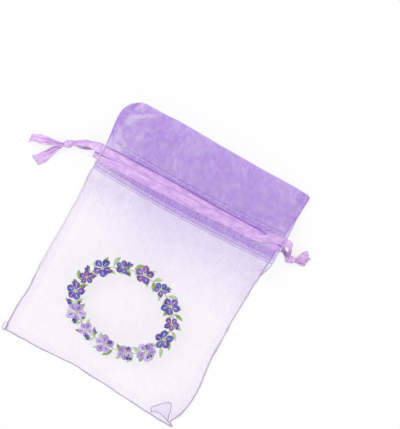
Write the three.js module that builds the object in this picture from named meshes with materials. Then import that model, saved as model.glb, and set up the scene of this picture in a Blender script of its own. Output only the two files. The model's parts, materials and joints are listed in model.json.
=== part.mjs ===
// A drawstring sachet bag of sheer organza, lying flat with its mouth towards +Y.
// Two panels are seamed along the sides and the bottom. Each panel's top is turned inside as a facing, and
// two stitch rows make a casing there. Two ribbons run through both casings, each turned round one end of
// them and knotted beyond the other end.
// Units are millimetres, +Z is up, and the origin is the middle of the back panel's underside.
import * as THREE from "three";

// Bag
const BAG_WIDTH = 90;
const BAG_LENGTH = 120; // bottom edge to mouth edge
const CLOTH = 0.3; // thickness of one ply
const PLY_GAP = 0.3; // clear gap between plies that lie on each other
const SEAM_WIDTH = 4; // seam allowance turned inside
const BELLY_RISE = 6; // how far the front stands off the back in the middle
const BELLY_EASE = 30; // length over which the front rises from the bottom seam
const MOUTH_RISE = 5.4; // how far the mouth's middle stands above its corners
const ARCH_POWER = 2.6; // fullness of the front's cross-section

// Casing
const CASING_HEIGHT = 94; // bottom edge to the middle of the casing
const CASING_WIDTH = 12; // between the two stitch rows
const CASING_CLEAR = 6; // clear height between front and back at the casing
const FACING_HEM = 2; // facing below the lower stitch row
const SLIT_EASE_BELOW = 10; // seam left open below the facing, where the ribbons come out
const FRILL_SLIT_SHARE = 0.55; // share of the frill's height, above the casing, whose sides are left open
const THREAD = 0.3; // stitch thread's diameter
const THREAD_GAP = 0.1;
const STITCH_INSET = 1; // from the bag's edge to the end of a stitch row

// Drawstrings
const RIBBON_WIDTH = 3.8;
const RIBBON = 0.3; // ribbon's thickness
const LANE_GAP = 0.3; // between the two ribbons, side by side in the casing
const RIBBON_PROUD = 0.6; // ribbon's end beyond the bag's edge, where its strand begins
const KNOT_LENGTH = 4.4;
const KNOT_RADIUS = 1.9;
const KNOT_END_RADIUS = 1.3;
const KNOT_LIFT = 0.3; // under the knot
const KNOT_PITCH = 0.5; // each strand and tail, above or below the knot's axis
const JOIN_GAP = 0.3; // between lengths of the same ribbon
const TIED_WIDTH = 2; // ribbon's width where the knot grips it
const TAIL_WIDTH = 4.8; // ribbon's width at a tail's cut end
const UPPER_TAIL_END = 2; // height of the upper tail's end above the table
const LOWER_TAIL_END = 0.5;

// Each drawstring's knot, as its place beyond the bag's edge and below the casing's middle, the direction in
// degrees that it is pulled in, how far its strands run straight at both ends, and how far each tail runs out
// and aside
const LEFT_OUT = 14;
const LEFT_DROP = 6;
const LEFT_HEADING = 218;
const LEFT_LEAD = 7;
const LEFT_TAIL = 15;
const LEFT_UPPER_ASIDE = -5;
const LEFT_LOWER_ASIDE = 5;
const RIGHT_OUT = 8;
const RIGHT_DROP = 2.6;
const RIGHT_HEADING = 20;
const RIGHT_LEAD = 2;
const RIGHT_TAIL = 8;
const RIGHT_UPPER_ASIDE = 2.6;
const RIGHT_LOWER_ASIDE = -2.8;
const PULLS = [
  {
    name: "left", side: -1, out: LEFT_OUT, drop: LEFT_DROP, heading: LEFT_HEADING, lead: LEFT_LEAD,
    tail: LEFT_TAIL, upperAside: LEFT_UPPER_ASIDE, lowerAside: LEFT_LOWER_ASIDE,
  },
  {
    name: "right", side: 1, out: RIGHT_OUT, drop: RIGHT_DROP, heading: RIGHT_HEADING, lead: RIGHT_LEAD,
    tail: RIGHT_TAIL, upperAside: RIGHT_UPPER_ASIDE, lowerAside: RIGHT_LOWER_ASIDE,
  },
];

// Places that follow from the sizes
const edge = BAG_WIDTH / 2;
const yMouth = BAG_LENGTH / 2;
const yBottom = -yMouth;
const yCasing = yBottom + CASING_HEIGHT;
const yLower = yCasing - CASING_WIDTH / 2;
const yUpper = yCasing + CASING_WIDTH / 2;
const yHem = yLower - FACING_HEM;
const ySeamTop = yHem - SLIT_EASE_BELOW;
const yFrillSeam = yUpper + FRILL_SLIT_SHARE * (yMouth - yUpper);
const seamThickness = 2 * CLOTH;
const casingPocket = RIBBON + 2 * PLY_GAP;
const laneMiddle = (RIBBON_WIDTH + LANE_GAP) / 2;
const pocketFlat = (2 * laneMiddle + RIBBON_WIDTH) / CASING_WIDTH;

// Heights of the front panel's underside along the seams and at the casing
const seamLevel = CLOTH + PLY_GAP + seamThickness + PLY_GAP;
const frillLevel = seamLevel + 2 * (CLOTH + PLY_GAP);
const casingLevel = 3 * CLOTH + 2 * casingPocket + CASING_CLEAR;
const backRun = CLOTH + PLY_GAP + RIBBON / 2;
const frontRun = casingLevel - PLY_GAP - RIBBON / 2;
const knotHeight = KNOT_RADIUS + KNOT_LIFT;

const organza = new THREE.MeshStandardMaterial({
  color: 0xd8c8f0, roughness: 0.6, metalness: 0, transparent: true, opacity: 0.5,
});
const thread = new THREE.MeshStandardMaterial({ color: 0xe9e0f4, roughness: 0.7, metalness: 0 });
const satin = new THREE.MeshStandardMaterial({ color: 0xdcb2e8, roughness: 0.4, metalness: 0 });

const bag = new THREE.Group();

function addPiece(name, geometry, material, parent = bag) {
  const mesh = new THREE.Mesh(geometry, material);
  mesh.name = name;
  parent.add(mesh);
  return mesh;
}

// Evenly spaced values through a list of [end, divisions], from start
function stations(start, spans) {
  const values = [start];
  for (const [end, divisions] of spans) {
    const from = values[values.length - 1];
    for (let i = 1; i <= divisions; i++) values.push(THREE.MathUtils.lerp(from, end, i / divisions));
  }
  return values;
}

function solidFrom(points, triangles) {
  const geometry = new THREE.BufferGeometry();
  geometry.setAttribute("position", new THREE.Float32BufferAttribute(points.flat(), 3));
  geometry.setIndex(triangles.flat());
  return geometry;
}

// A ply over a grid of x and y stations, whose underside is at heightAt(x, y)
function plySolid(xs, ys, heightAt) {
  const columns = xs.length;
  const count = columns * ys.length;
  const underside = ys.flatMap((y) => xs.map((x) => [x, y, heightAt(x, y)]));
  const top = underside.map(([x, y, z]) => [x, y, z + CLOTH]);
  const triangles = [];
  for (let j = 0; j + 1 < ys.length; j++) {
    for (let i = 0; i + 1 < columns; i++) {
      const a = j * columns + i;
      const b = a + 1;
      const c = a + columns;
      const d = c + 1;
      triangles.push([a, c, b], [b, c, d]);
      triangles.push([a + count, b + count, c + count], [b + count, d + count, c + count]);
    }
  }
  const rim = [];
  for (let i = 0; i < columns; i++) rim.push(i);
  for (let j = 1; j < ys.length; j++) rim.push(j * columns + columns - 1);
  for (let i = columns - 2; i >= 0; i--) rim.push((ys.length - 1) * columns + i);
  for (let j = ys.length - 2; j > 0; j--) rim.push(j * columns);
  rim.forEach((a, i) => {
    const b = rim[(i + 1) % rim.length];
    triangles.push([a, b, b + count], [a, b + count, a + count]);
  });
  return solidFrom([...underside, ...top], triangles);
}

// A flat ribbon along a curve, its width level and its thickness across the curve
function bandSolid(curve, widthAt, steps) {
  const points = [];
  for (let i = 0; i <= steps; i++) {
    const middle = curve.getPoint(i / steps);
    const tangent = curve.getTangent(i / steps);
    const aside = new THREE.Vector3(0, 0, 1).cross(tangent).normalize();
    const up = tangent.clone().cross(aside);
    const half = widthAt(i / steps) / 2;
    for (const [w, h] of [[-1, -1], [1, -1], [1, 1], [-1, 1]]) {
      const corner = middle.clone().addScaledVector(aside, w * half).addScaledVector(up, (h * RIBBON) / 2);
      points.push(corner.toArray());
    }
  }
  const triangles = [[0, 2, 1], [0, 3, 2]];
  for (let i = 0; i < steps; i++) {
    for (let k = 0; k < 4; k++) {
      const a = 4 * i + k;
      const b = 4 * i + ((k + 1) % 4);
      triangles.push([a, b, b + 4], [a, b + 4, a + 4]);
    }
  }
  const last = 4 * steps;
  triangles.push([last, last + 1, last + 2], [last, last + 2, last + 3]);
  return solidFrom(points, triangles);
}

function boxSolid(x0, x1, y0, y1, z0, z1) {
  const geometry = new THREE.BoxGeometry(x1 - x0, y1 - y0, z1 - z0);
  return geometry.translate((x0 + x1) / 2, (y0 + y1) / 2, (z0 + z1) / 2);
}

const { smoothstep, lerp } = THREE.MathUtils;

// The front's cross-section: 1 in the middle, 0 at the side seams
function arch(x) {
  return 1 - Math.pow(Math.abs(x) / edge, ARCH_POWER);
}

// Gap between a panel and its facing: a ply's gap, opened to the ribbons' pocket inside the casing
function pocket(y) {
  const fromMiddle = Math.abs(y - yCasing) / (CASING_WIDTH / 2);
  return lerp(casingPocket, PLY_GAP, smoothstep(fromMiddle, pocketFlat, 1));
}

// Underside of the front panel: an arched belly, a straight casing and an arched mouth
function frontLevel(x, y) {
  if (y <= yHem) {
    const belly = seamLevel + BELLY_RISE * arch(x) * smoothstep(y, yBottom, yBottom + BELLY_EASE);
    return lerp(belly, casingLevel, smoothstep(y, ySeamTop, yHem));
  }
  const mouth = frillLevel + MOUTH_RISE * arch(x);
  return lerp(casingLevel, mouth, smoothstep(y, yUpper, yFrillSeam));
}

function frontFacingLevel(x, y) {
  return frontLevel(x, y) - pocket(y) - CLOTH;
}

function backFacingLevel(x, y) {
  return CLOTH + pocket(y);
}

// Panels and facings
const across = stations(-edge, [[edge, 18]]);
const casingRows = [[yLower, 1], [yCasing, 4], [yUpper, 4], [yFrillSeam, 5], [yMouth, 2]];
addPiece("back_panel", boxSolid(-edge, edge, yBottom, yMouth, 0, CLOTH), organza);
const frontRows = stations(yBottom, [[yBottom + BELLY_EASE, 6], [ySeamTop, 4], [yHem, 5], ...casingRows]);
addPiece("front_panel", plySolid(across, frontRows, frontLevel), organza);
const facingRows = stations(yHem, casingRows);
addPiece("back_facing", plySolid([-edge, edge], facingRows, backFacingLevel), organza);
addPiece("front_facing", plySolid(across, facingRows, frontFacingLevel), organza);

// Seam allowances, turned inside between the plies
const seamFloor = CLOTH + PLY_GAP;
const frillFloor = seamFloor + CLOTH + PLY_GAP;
const seamInner = edge - SEAM_WIDTH;
const seamRoof = seamFloor + seamThickness;
const frillRoof = frillFloor + seamThickness;
const yBottomSeam = yBottom + SEAM_WIDTH;
addPiece("bottom_seam", boxSolid(-edge, edge, yBottom, yBottomSeam, seamFloor, seamRoof), organza);
const ySeamFoot = yBottomSeam + JOIN_GAP;
for (const [name, x0, x1] of [["left", -edge, -seamInner], ["right", seamInner, edge]]) {
  addPiece(`${name}_side_seam`, boxSolid(x0, x1, ySeamFoot, ySeamTop, seamFloor, seamRoof), organza);
  addPiece(`${name}_frill_seam`, boxSolid(x0, x1, yFrillSeam, yMouth, frillFloor, frillRoof), organza);
}

// Stitch rows: on the front panel's outside and on the back facing's inside
function stitchRow(y, z) {
  const reach = edge - STITCH_INSET;
  const path = new THREE.LineCurve3(new THREE.Vector3(-reach, y, z), new THREE.Vector3(reach, y, z));
  const section = new THREE.Shape().absarc(0, 0, THREAD / 2, 0, 2 * Math.PI);
  return new THREE.ExtrudeGeometry(section, { extrudePath: path, steps: 1, curveSegments: 6 });
}
const threadSeat = CLOTH + THREAD_GAP + THREAD / 2;
for (const [row, y] of [["upper", yUpper], ["lower", yLower]]) {
  addPiece(`front_${row}_stitch`, stitchRow(y, frontLevel(0, y) + threadSeat), thread);
  addPiece(`back_${row}_stitch`, stitchRow(y, backFacingLevel(0, y) + threadSeat), thread);
}

// One ribbon in the casing: the front run, the turn beyond the casing's far end, and the back run. The left
// one lies in the lane towards the mouth.
function ribbonLoop(side) {
  const middle = (frontRun + backRun) / 2;
  const radius = (frontRun - backRun) / 2;
  const open = -(edge + RIBBON_PROUD);
  const outer = radius + RIBBON / 2;
  const inner = radius - RIBBON / 2;
  const outline = new THREE.Shape();
  outline.moveTo(open, middle + outer);
  outline.lineTo(edge, middle + outer);
  outline.absarc(edge, middle, outer, Math.PI / 2, -Math.PI / 2, true);
  outline.lineTo(open, middle - outer);
  outline.lineTo(open, middle - inner);
  outline.lineTo(edge, middle - inner);
  outline.absarc(edge, middle, inner, -Math.PI / 2, Math.PI / 2, false);
  outline.lineTo(open, middle + inner);
  const geometry = new THREE.ExtrudeGeometry(outline, {
    depth: RIBBON_WIDTH, bevelEnabled: false, curveSegments: 10,
  });
  geometry.rotateX(Math.PI / 2).translate(0, RIBBON_WIDTH + LANE_GAP / 2, 0);
  if (side > 0) geometry.rotateZ(Math.PI);
  return geometry.translate(0, yCasing, 0);
}

function knotSolid() {
  const shoulder = KNOT_LENGTH / 6;
  const profile = [
    [0, -KNOT_LENGTH / 2], [KNOT_END_RADIUS, -KNOT_LENGTH / 2], [KNOT_RADIUS, -shoulder],
    [KNOT_RADIUS, shoulder], [KNOT_END_RADIUS, KNOT_LENGTH / 2], [0, KNOT_LENGTH / 2],
  ];
  const points = profile.map(([radius, along]) => new THREE.Vector2(radius, along));
  return new THREE.LatheGeometry(points, 14).rotateZ(-Math.PI / 2);
}

// A tail from the knot's outer face, in the pull's own frame, with +X outwards and the knot at the origin
function tailSolid(pull, level, aside, endHeight) {
  const start = new THREE.Vector3(KNOT_LENGTH / 2 + JOIN_GAP, 0, level);
  const end = new THREE.Vector3(start.x + pull.tail, aside, endHeight - knotHeight);
  const lead = pull.tail / 3;
  const curve = new THREE.CubicBezierCurve3(
    start,
    start.clone().setX(start.x + lead),
    end.clone().setX(end.x - lead),
    end,
  );
  return bandSolid(curve, (share) => lerp(TIED_WIDTH, TAIL_WIDTH, smoothstep(share, 0, 1)), 10);
}

for (const pull of PULLS) {
  addPiece(`${pull.name}_ribbon`, ribbonLoop(pull.side), satin);

  const knotPlace = new THREE.Vector3(pull.side * (edge + pull.out), yCasing - pull.drop, knotHeight);
  const heading = THREE.MathUtils.degToRad(pull.heading);
  const outwards = new THREE.Vector3(Math.cos(heading), Math.sin(heading), 0);

  // Strands from the ribbon's two runs to the knot's inner face
  const exitX = pull.side * (edge + RIBBON_PROUD + JOIN_GAP);
  const exitY = yCasing - pull.side * laneMiddle;
  const knotFace = knotPlace.clone().addScaledVector(outwards, -(KNOT_LENGTH / 2 + JOIN_GAP));
  for (const [layer, run, level] of [["front", frontRun, KNOT_PITCH], ["back", backRun, -KNOT_PITCH]]) {
    const start = new THREE.Vector3(exitX, exitY, run);
    const end = knotFace.clone().setZ(knotHeight + level);
    const curve = new THREE.CubicBezierCurve3(
      start,
      start.clone().setX(exitX + pull.side * pull.lead),
      end.clone().addScaledVector(outwards, -pull.lead),
      end,
    );
    const widthAt = (share) => lerp(RIBBON_WIDTH, TIED_WIDTH, smoothstep(share, 0, 1));
    addPiece(`${pull.name}_${layer}_strand`, bandSolid(curve, widthAt, 12), satin);
  }

  // Knot and tails, turned to the pull's heading
  const frame = new THREE.Group();
  frame.position.copy(knotPlace);
  frame.rotation.z = heading;
  bag.add(frame);
  addPiece(`${pull.name}_knot`, knotSolid(), satin, frame);
  const upper = tailSolid(pull, KNOT_PITCH, pull.upperAside, UPPER_TAIL_END);
  addPiece(`${pull.name}_upper_tail`, upper, satin, frame);
  const lower = tailSolid(pull, -KNOT_PITCH, pull.lowerAside, LOWER_TAIL_END);
  addPiece(`${pull.name}_lower_tail`, lower, satin, frame);
}

export default bag;
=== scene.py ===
"""A sheer organza sachet bag with two ribbon drawstrings, laid flat and dressed over its solid model."""
import json
import math

import bpy
import numpy as np
from mathutils import Matrix, Vector


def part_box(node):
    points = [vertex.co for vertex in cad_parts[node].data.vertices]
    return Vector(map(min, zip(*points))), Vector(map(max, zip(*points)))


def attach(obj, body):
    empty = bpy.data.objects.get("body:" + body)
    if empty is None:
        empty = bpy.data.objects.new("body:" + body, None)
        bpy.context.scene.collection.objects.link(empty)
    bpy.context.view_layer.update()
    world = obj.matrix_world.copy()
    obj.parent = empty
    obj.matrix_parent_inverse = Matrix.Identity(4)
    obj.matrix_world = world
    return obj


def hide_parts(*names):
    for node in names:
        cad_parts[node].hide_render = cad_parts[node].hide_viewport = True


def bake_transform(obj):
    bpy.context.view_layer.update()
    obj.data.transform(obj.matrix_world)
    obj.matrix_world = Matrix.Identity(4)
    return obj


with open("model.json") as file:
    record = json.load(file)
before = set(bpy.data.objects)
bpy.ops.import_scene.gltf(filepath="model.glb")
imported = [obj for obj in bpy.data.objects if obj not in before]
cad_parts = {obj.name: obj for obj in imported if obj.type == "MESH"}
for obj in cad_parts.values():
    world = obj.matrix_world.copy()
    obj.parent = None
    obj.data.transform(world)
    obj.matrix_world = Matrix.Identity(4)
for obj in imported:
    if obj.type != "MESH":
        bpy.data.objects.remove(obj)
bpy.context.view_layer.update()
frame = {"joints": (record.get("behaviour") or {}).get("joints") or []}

# Lengths are in millimetres up to the point where a mesh is made
MM = 0.001


def box_mm(node):
    low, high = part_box(node)
    return np.array(low) / MM, np.array(high) / MM


# Sizes and places from the solid model
panel_low, panel_high = box_mm("back_panel")
EDGE = panel_high[0]
BOTTOM = panel_low[1]
MOUTH = panel_high[1]
CLOTH = panel_high[2]
HEM = box_mm("front_facing")[0][1]
LOWER_ROW = np.mean(box_mm("front_lower_stitch"), axis=0)[1]
UPPER_ROW = np.mean(box_mm("front_upper_stitch"), axis=0)[1]
CASING = (LOWER_ROW + UPPER_ROW) / 2
SEAM_TOP = box_mm("left_side_seam")[1][1]
SEAM_WIDTH = EDGE + box_mm("left_side_seam")[1][0]
FRILL_SEAM = box_mm("left_frill_seam")[0][1]
SEAM_LEVEL = box_mm("front_panel")[0][2]
CASING_LEVEL = box_mm("front_panel")[1][2] - CLOTH
ribbon_low, ribbon_high = box_mm("left_ribbon")
RIBBON_WIDTH = ribbon_high[1] - ribbon_low[1]

# The front's shape, as the solid model has it
PLY_GAP = 0.3
FRILL_LEVEL = SEAM_LEVEL + 2 * (CLOTH + PLY_GAP)
BELLY_RISE = 6
BELLY_EASE = 30
MOUTH_RISE = 5.4
ARCH_POWER = 2.6
CASING_POCKET = 1.2
POCKET_FLAT = 0.75  # share of the casing's width over which the pocket is fully open
OPENING_FLAT = 0.88  # the same at the casing's ends, between the rolled edges

# Cloth grid and relief
GRID_STEP = 0.75
FOLD_ROWS = 4
LATTICE = 64


def smooth(value, start, end):
    """0 before start, 1 after end, and level at both."""
    share = np.clip((value - start) / (end - start), 0, 1)
    return share * share * (3 - 2 * share)


def hump(value, start, full, fading, end):
    """1 from full to fading, and 0 before start and after end."""
    return smooth(value, start, full) * (1 - smooth(value, fading, end))


def bell(value, middle, width):
    return np.exp(-((value - middle) / width) ** 2)


def mix(low, high, share):
    return low + (high - low) * share


def noise(x, y, seed):
    """Smooth values from -1 to 1 over the plane, with one lattice step per unit."""
    lattice = np.random.default_rng(seed).uniform(-1, 1, (LATTICE, LATTICE))
    x, y = np.broadcast_arrays(np.asarray(x, float), np.asarray(y, float))
    column = np.floor(x).astype(int)
    row = np.floor(y).astype(int)
    across, along = ((t ** 3 * (10 - 15 * t + 6 * t * t)) for t in (x - column, y - row))

    def corner(i, j):
        return lattice[(row + j) % LATTICE, (column + i) % LATTICE]

    lower = mix(corner(0, 0), corner(1, 0), across)
    upper = mix(corner(0, 1), corner(1, 1), across)
    return mix(lower, upper, along)


# Materials

def colour(code):
    """A colour written as six hex digits, as linear red, green, blue and alpha."""
    shares = [int(code[i:i + 2], 16) / 255 for i in (0, 2, 4)]
    return [s / 12.92 if s <= 0.04045 else ((s + 0.055) / 1.055) ** 2.4 for s in shares] + [1]


def node(tree, kind, inputs=None, **settings):
    made = tree.nodes.new("ShaderNode" + kind)
    for key, value in settings.items():
        setattr(made, key, value)
    for key, value in (inputs or {}).items():
        if isinstance(value, bpy.types.NodeSocket):
            tree.links.new(value, made.inputs[key])
        else:
            made.inputs[key].default_value = value
    return made


def math_node(tree, operation, first, second):
    return node(tree, "Math", {0: first, 1: second}, operation=operation).outputs[0]


def plus(tree, first, second):
    return math_node(tree, "ADD", first, second)


def times(tree, first, second):
    return math_node(tree, "MULTIPLY", first, second)


def mesh_value(tree, name):
    """One of the values that the mesh has at its points."""
    return node(tree, "Attribute", attribute_name=name).outputs["Fac"]


def cloth_uv(tree):
    return node(tree, "UVMap", uv_map="cloth").outputs[0]


def speckle(tree, scale, detail):
    """Fine noise in the piece's own space."""
    place = node(tree, "TexCoord").outputs["Object"]
    return node(tree, "TexNoise", {"Vector": place, "Scale": scale, "Detail": detail}).outputs["Fac"]


def ramp(tree, value, stops):
    made = node(tree, "ValToRGB", {"Fac": value})
    elements = made.color_ramp.elements
    while len(elements) < len(stops):
        elements.new(0.5)
    for element, (place, code) in zip(elements, stops):
        element.position = place
        element.color = colour(code)
    return made.outputs["Color"]


def with_painted_light(tree, value, stops, painted_light_stops):
    """A ramp that goes over to a paler one by the mesh's painted light: painted highlights along the fold
    tops, and rolled edges painted lighter on the left side.
    """
    shades = {6: ramp(tree, value, stops), 7: ramp(tree, value, painted_light_stops)}
    made = node(tree, "Mix", {0: mesh_value(tree, "paleness"), **shades}, data_type="RGBA")
    return made.outputs[2]


def new_material(name, **values):
    """A Principled material whose uniform values are set on its own sockets."""
    material = bpy.data.materials.new(name)
    material.use_nodes = True
    tree = material.node_tree
    shader = tree.nodes["Principled BSDF"]
    for key, value in values.items():
        shader.inputs[key.replace("_", " ")].default_value = value
    return material, tree, shader


UV_UNIT = 100  # millimetres of cloth per UV unit
WEAVE_PITCH = 0.36


def streaks(tree, uv, fine, long, along):
    """Uneven threads: noise drawn out along one direction of the cloth."""
    scale = (UV_UNIT / fine, UV_UNIT / long, 1) if along else (UV_UNIT / long, UV_UNIT / fine, 1)
    place = node(tree, "Mapping", {"Vector": uv, "Scale": scale}).outputs[0]
    return node(tree, "TexNoise", {"Vector": place, "Scale": 1, "Detail": 3}).outputs["Fac"]


def threads(tree, uv, pitch, direction):
    """Bands across the cloth, one per thread."""
    scale = math.pi / 10 * UV_UNIT / pitch
    return node(
        tree, "TexWave", {"Vector": uv, "Scale": scale, "Distortion": 0.4, "Detail": 1},
        wave_type="BANDS", bands_direction=direction,
    ).outputs["Fac"]


def bump(tree, shader, height, strength, distance):
    made = node(tree, "Bump", {"Height": height, "Strength": strength, "Distance": distance * MM})
    tree.links.new(made.outputs[0], shader.inputs["Normal"])


def organza_material(name, ply_alpha, stops, painted_light_stops):
    """Sheer plain weave: lavender threads with slubs along both directions, and clear gaps between them."""
    material, tree, shader = new_material(
        name, Roughness=0.42, Specular_IOR_Level=0.35, Sheen_Weight=0.35, Sheen_Roughness=0.35,
        Sheen_Tint=colour("F3E6FF"),
    )
    uv = cloth_uv(tree)
    warp = streaks(tree, uv, 0.7, 26, True)
    weft = streaks(tree, uv, 0.6, 18, False)
    slubs = plus(tree, times(tree, warp, 0.6), times(tree, weft, 0.4))
    weave = plus(tree, threads(tree, uv, WEAVE_PITCH, "X"), threads(tree, uv, WEAVE_PITCH, "Y"))
    # Paler where the mesh carries painted light: painted highlights along the fold tops.
    tree.links.new(with_painted_light(tree, slubs, stops, painted_light_stops), shader.inputs["Base Color"])
    share = times(tree, mesh_value(tree, "closeness"), ply_alpha)
    uneven = plus(tree, times(tree, slubs, 1.5), 0.25)
    gaps = plus(tree, times(tree, weave, 0.3), 0.7)
    grain = plus(tree, streaks(tree, uv, 0.5, 0.7, True), 0.5)
    alpha = times(tree, times(tree, share, times(tree, uneven, gaps)), grain)
    tree.links.new(math_node(tree, "MINIMUM", alpha, 0.95), shader.inputs["Alpha"])
    bump(tree, shader, weave, 0.25, 0.05)
    return material


def satin_material():
    """Ribbon: a lustrous weave with fine ribs across it and a closer edge."""
    material, tree, shader = new_material(
        "ribbon_satin", Roughness=0.34, Specular_IOR_Level=0.45, Sheen_Weight=0.4, Sheen_Roughness=0.3,
        Sheen_Tint=colour("FBEBFF"),
    )
    uv = cloth_uv(tree)
    lie = streaks(tree, uv, 0.35, 9, False)
    # Lumps: bumps in the surface, and painted highlights and painted shade in the colour over them.
    lumps_and_highlights = streaks(tree, uv, 2.2, 3.4, False)
    tone = plus(tree, times(tree, lie, 0.55), times(tree, lumps_and_highlights, 0.45))
    stops = [(0.3, "C092D9"), (0.48, "DBB5ED"), (0.66, "F1D9FA")]
    tree.links.new(ramp(tree, tone, stops), shader.inputs["Base Color"])
    bump(tree, shader, plus(tree, threads(tree, uv, 0.3, "X"), tone), 0.3, 0.05)
    return material


def thread_material(name, light, dark):
    """Twisted sewing thread."""
    material, tree, shader = new_material(name, Roughness=0.6, Specular_IOR_Level=0.3, Sheen_Weight=0.3)
    tone = speckle(tree, 900, 3)
    tree.links.new(ramp(tree, tone, [(0.3, dark), (0.7, light)]), shader.inputs["Base Color"])
    bump(tree, shader, tone, 0.4, 0.1)
    return material


def rolled_material(name, stops, painted_light_stops):
    """Cloth rolled into a narrow edge and bound over with thread."""
    material, tree, shader = new_material(name, Roughness=0.55, Specular_IOR_Level=0.3, Sheen_Weight=0.3)
    uv = cloth_uv(tree)
    wraps = threads(tree, uv, 0.42, "DIAGONAL")
    tone = times(tree, plus(tree, wraps, streaks(tree, uv, 0.8, 3, True)), 0.5)
    # Paler where the mesh carries painted light: rolled edges painted lighter on the left side.
    tree.links.new(with_painted_light(tree, tone, stops, painted_light_stops), shader.inputs["Base Color"])
    bump(tree, shader, wraps, 0.5, 0.08)
    return material


def ink_material(name, light, dark, alpha):
    """Printed colour, pooled unevenly in the weave."""
    material, tree, shader = new_material(name, Roughness=0.6, Specular_IOR_Level=0.2, Alpha=alpha)
    wash = speckle(tree, 420, 4)
    tree.links.new(ramp(tree, wash, [(0.32, dark), (0.68, light)]), shader.inputs["Base Color"])
    return material


# Each material's second ramp is the paler colour of its painted highlights.
ORGANZA = organza_material(
    "organza_cloth", 0.045,
    [(0.3, "9B5FDA"), (0.5, "AD71E5"), (0.7, "C694F0")],
    [(0.3, "C9A9F2"), (0.5, "DCC4F8"), (0.7, "EEE0FC")],
)
SATIN = satin_material()
THREAD = thread_material("sewing_thread", "E4D0F8", "C0A2E8")
ROLLED = rolled_material(
    "rolled_hem",
    [(0.2, "A497B8"), (0.5, "C0B3D0"), (0.8, "D6CCE2")],
    [(0.2, "D8D0E4"), (0.5, "E8E2F0"), (0.8, "F4F0F8")],
)
FRILL_ROLLED = rolled_material(
    "frill_rolled_hem",
    [(0.2, "B69DDC"), (0.5, "CDB8EA"), (0.8, "E2D4F6")],
    [(0.2, "CDB8EA"), (0.5, "DCCCF2"), (0.8, "EEE4FA")],
)


# Meshes

UP = np.array([0, 0, 1.0])


def link(name, data):
    """A new object in the scene."""
    made = bpy.data.objects.new(name, data)
    bpy.context.scene.collection.objects.link(made)
    return made

def add_piece(name, shape, materials, normals=None, values=None, indices=None):
    """A mesh object from points in millimetres, faces and UVs, with normals and values at its points."""
    points, faces, uvs = shape
    mesh = bpy.data.meshes.new(name)
    mesh.from_pydata((np.asarray(points) * MM).tolist(), [], [list(map(int, face)) for face in faces])
    for material in materials:
        mesh.materials.append(material)
    if indices is not None:
        mesh.polygons.foreach_set("material_index", indices)
    mesh.shade_smooth()
    corners = np.zeros(len(mesh.loops), int)
    mesh.loops.foreach_get("vertex_index", corners)
    layer = mesh.uv_layers.new(name="cloth")
    layer.data.foreach_set("uv", (np.asarray(uvs)[corners] / UV_UNIT).astype(np.float32).ravel())
    for key, value in (values or {}).items():
        attribute = mesh.attributes.new(key, "FLOAT", "POINT")
        attribute.data.foreach_set("value", np.full(len(points), np.ravel(value), np.float32))
    if normals is not None:
        mesh.normals_split_custom_set_from_vertices(np.asarray(normals).tolist())
    piece = link(name, mesh)
    return piece


def grid_faces(rows, columns, flipped=False):
    faces = []
    for j in range(rows - 1):
        for i in range(columns - 1):
            a = j * columns + i
            face = [a, a + 1, a + columns + 1, a + columns]
            faces.append(face[::-1] if flipped else face)
    return faces


def sheet(grid, flat, flipped=False):
    """A shape from a grid of points and their places in the flat cloth."""
    return grid.reshape(-1, 3), grid_faces(*grid.shape[:2], flipped), flat.reshape(-1, 2)


def points_at(*axes):
    """Points from their places along each axis."""
    return np.stack(np.broadcast_arrays(*axes), axis=-1)


def unit(vectors):
    return vectors / np.linalg.norm(vectors, axis=-1, keepdims=True)


def tangents_of(path):
    return unit(np.gradient(path, axis=0))


def tube(path, radii, sides=8, flat=1.0, up=UP):
    """A closed tube along a path, with its section flattened along up."""
    radii = np.broadcast_to(radii, len(path))
    tangents = tangents_of(path)
    asides = unit(np.cross(up, tangents))
    ups = np.cross(tangents, asides)
    angles = 2 * np.pi * np.arange(sides) / sides
    ring = asides[:, None] * np.cos(angles)[:, None] + ups[:, None] * np.sin(angles)[:, None] * flat
    points = (path[:, None] + ring * radii[:, None, None]).reshape(-1, 3)
    faces = []
    for j in range(len(path) - 1):
        for k in range(sides):
            a = j * sides + k
            b = j * sides + (k + 1) % sides
            faces.append([a, b, b + sides, a + sides])
    faces.append(list(range(sides))[::-1])
    faces.append([(len(path) - 1) * sides + k for k in range(sides)])
    around = 2 * radii[:, None] * np.abs(np.linspace(-np.pi / 2, np.pi / 2, sides, endpoint=False))
    uvs = np.stack([np.broadcast_to(path_lengths(path)[:, None], around.shape), around], axis=2)
    return points, faces, uvs.reshape(-1, 2)


def path_lengths(path):
    """How far along the path each of its points is."""
    return np.concatenate([[0], np.cumsum(np.linalg.norm(np.diff(path, axis=0), axis=1))])


def through(places, steps):
    """A smooth line through the places."""
    places = np.asarray(places, float)
    ends = np.concatenate([[2 * places[0] - places[1]], places, [2 * places[-1] - places[-2]]])
    t = np.linspace(0, 1, steps, endpoint=False)[:, None]
    parts = []
    for a, b, c, d in zip(ends, ends[1:], ends[2:], ends[3:]):
        square = 2 * a - 5 * b + 4 * c - d
        cube = 3 * b - a - 3 * c + d
        parts.append(0.5 * (2 * b + (c - a) * t + square * t ** 2 + cube * t ** 3))
    return np.concatenate(parts + [places[-1:]])


def join(parts):
    """Several shapes as one."""
    points, faces, uvs = zip(*parts)
    starts = np.cumsum([0] + [len(part) for part in points])
    shifted = [[start + i for i in face] for start, part in zip(starts, faces) for face in part]
    return np.concatenate(points), shifted, np.concatenate(uvs)


# The bag's two halves, and pieces of cloth with their places baked into their points

SIDES = {"left": -1, "right": 1}


def gather(piece):
    """Bakes the piece's place into its points."""
    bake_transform(piece)


def add_cloth(name, shape, half, zone, material, normals=None, **values):
    """A piece of cloth, with its place baked into its points."""
    piece = add_piece(name, shape, [material], normals, values)
    gather(piece)
    return piece


# How the casing's line lies

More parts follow.
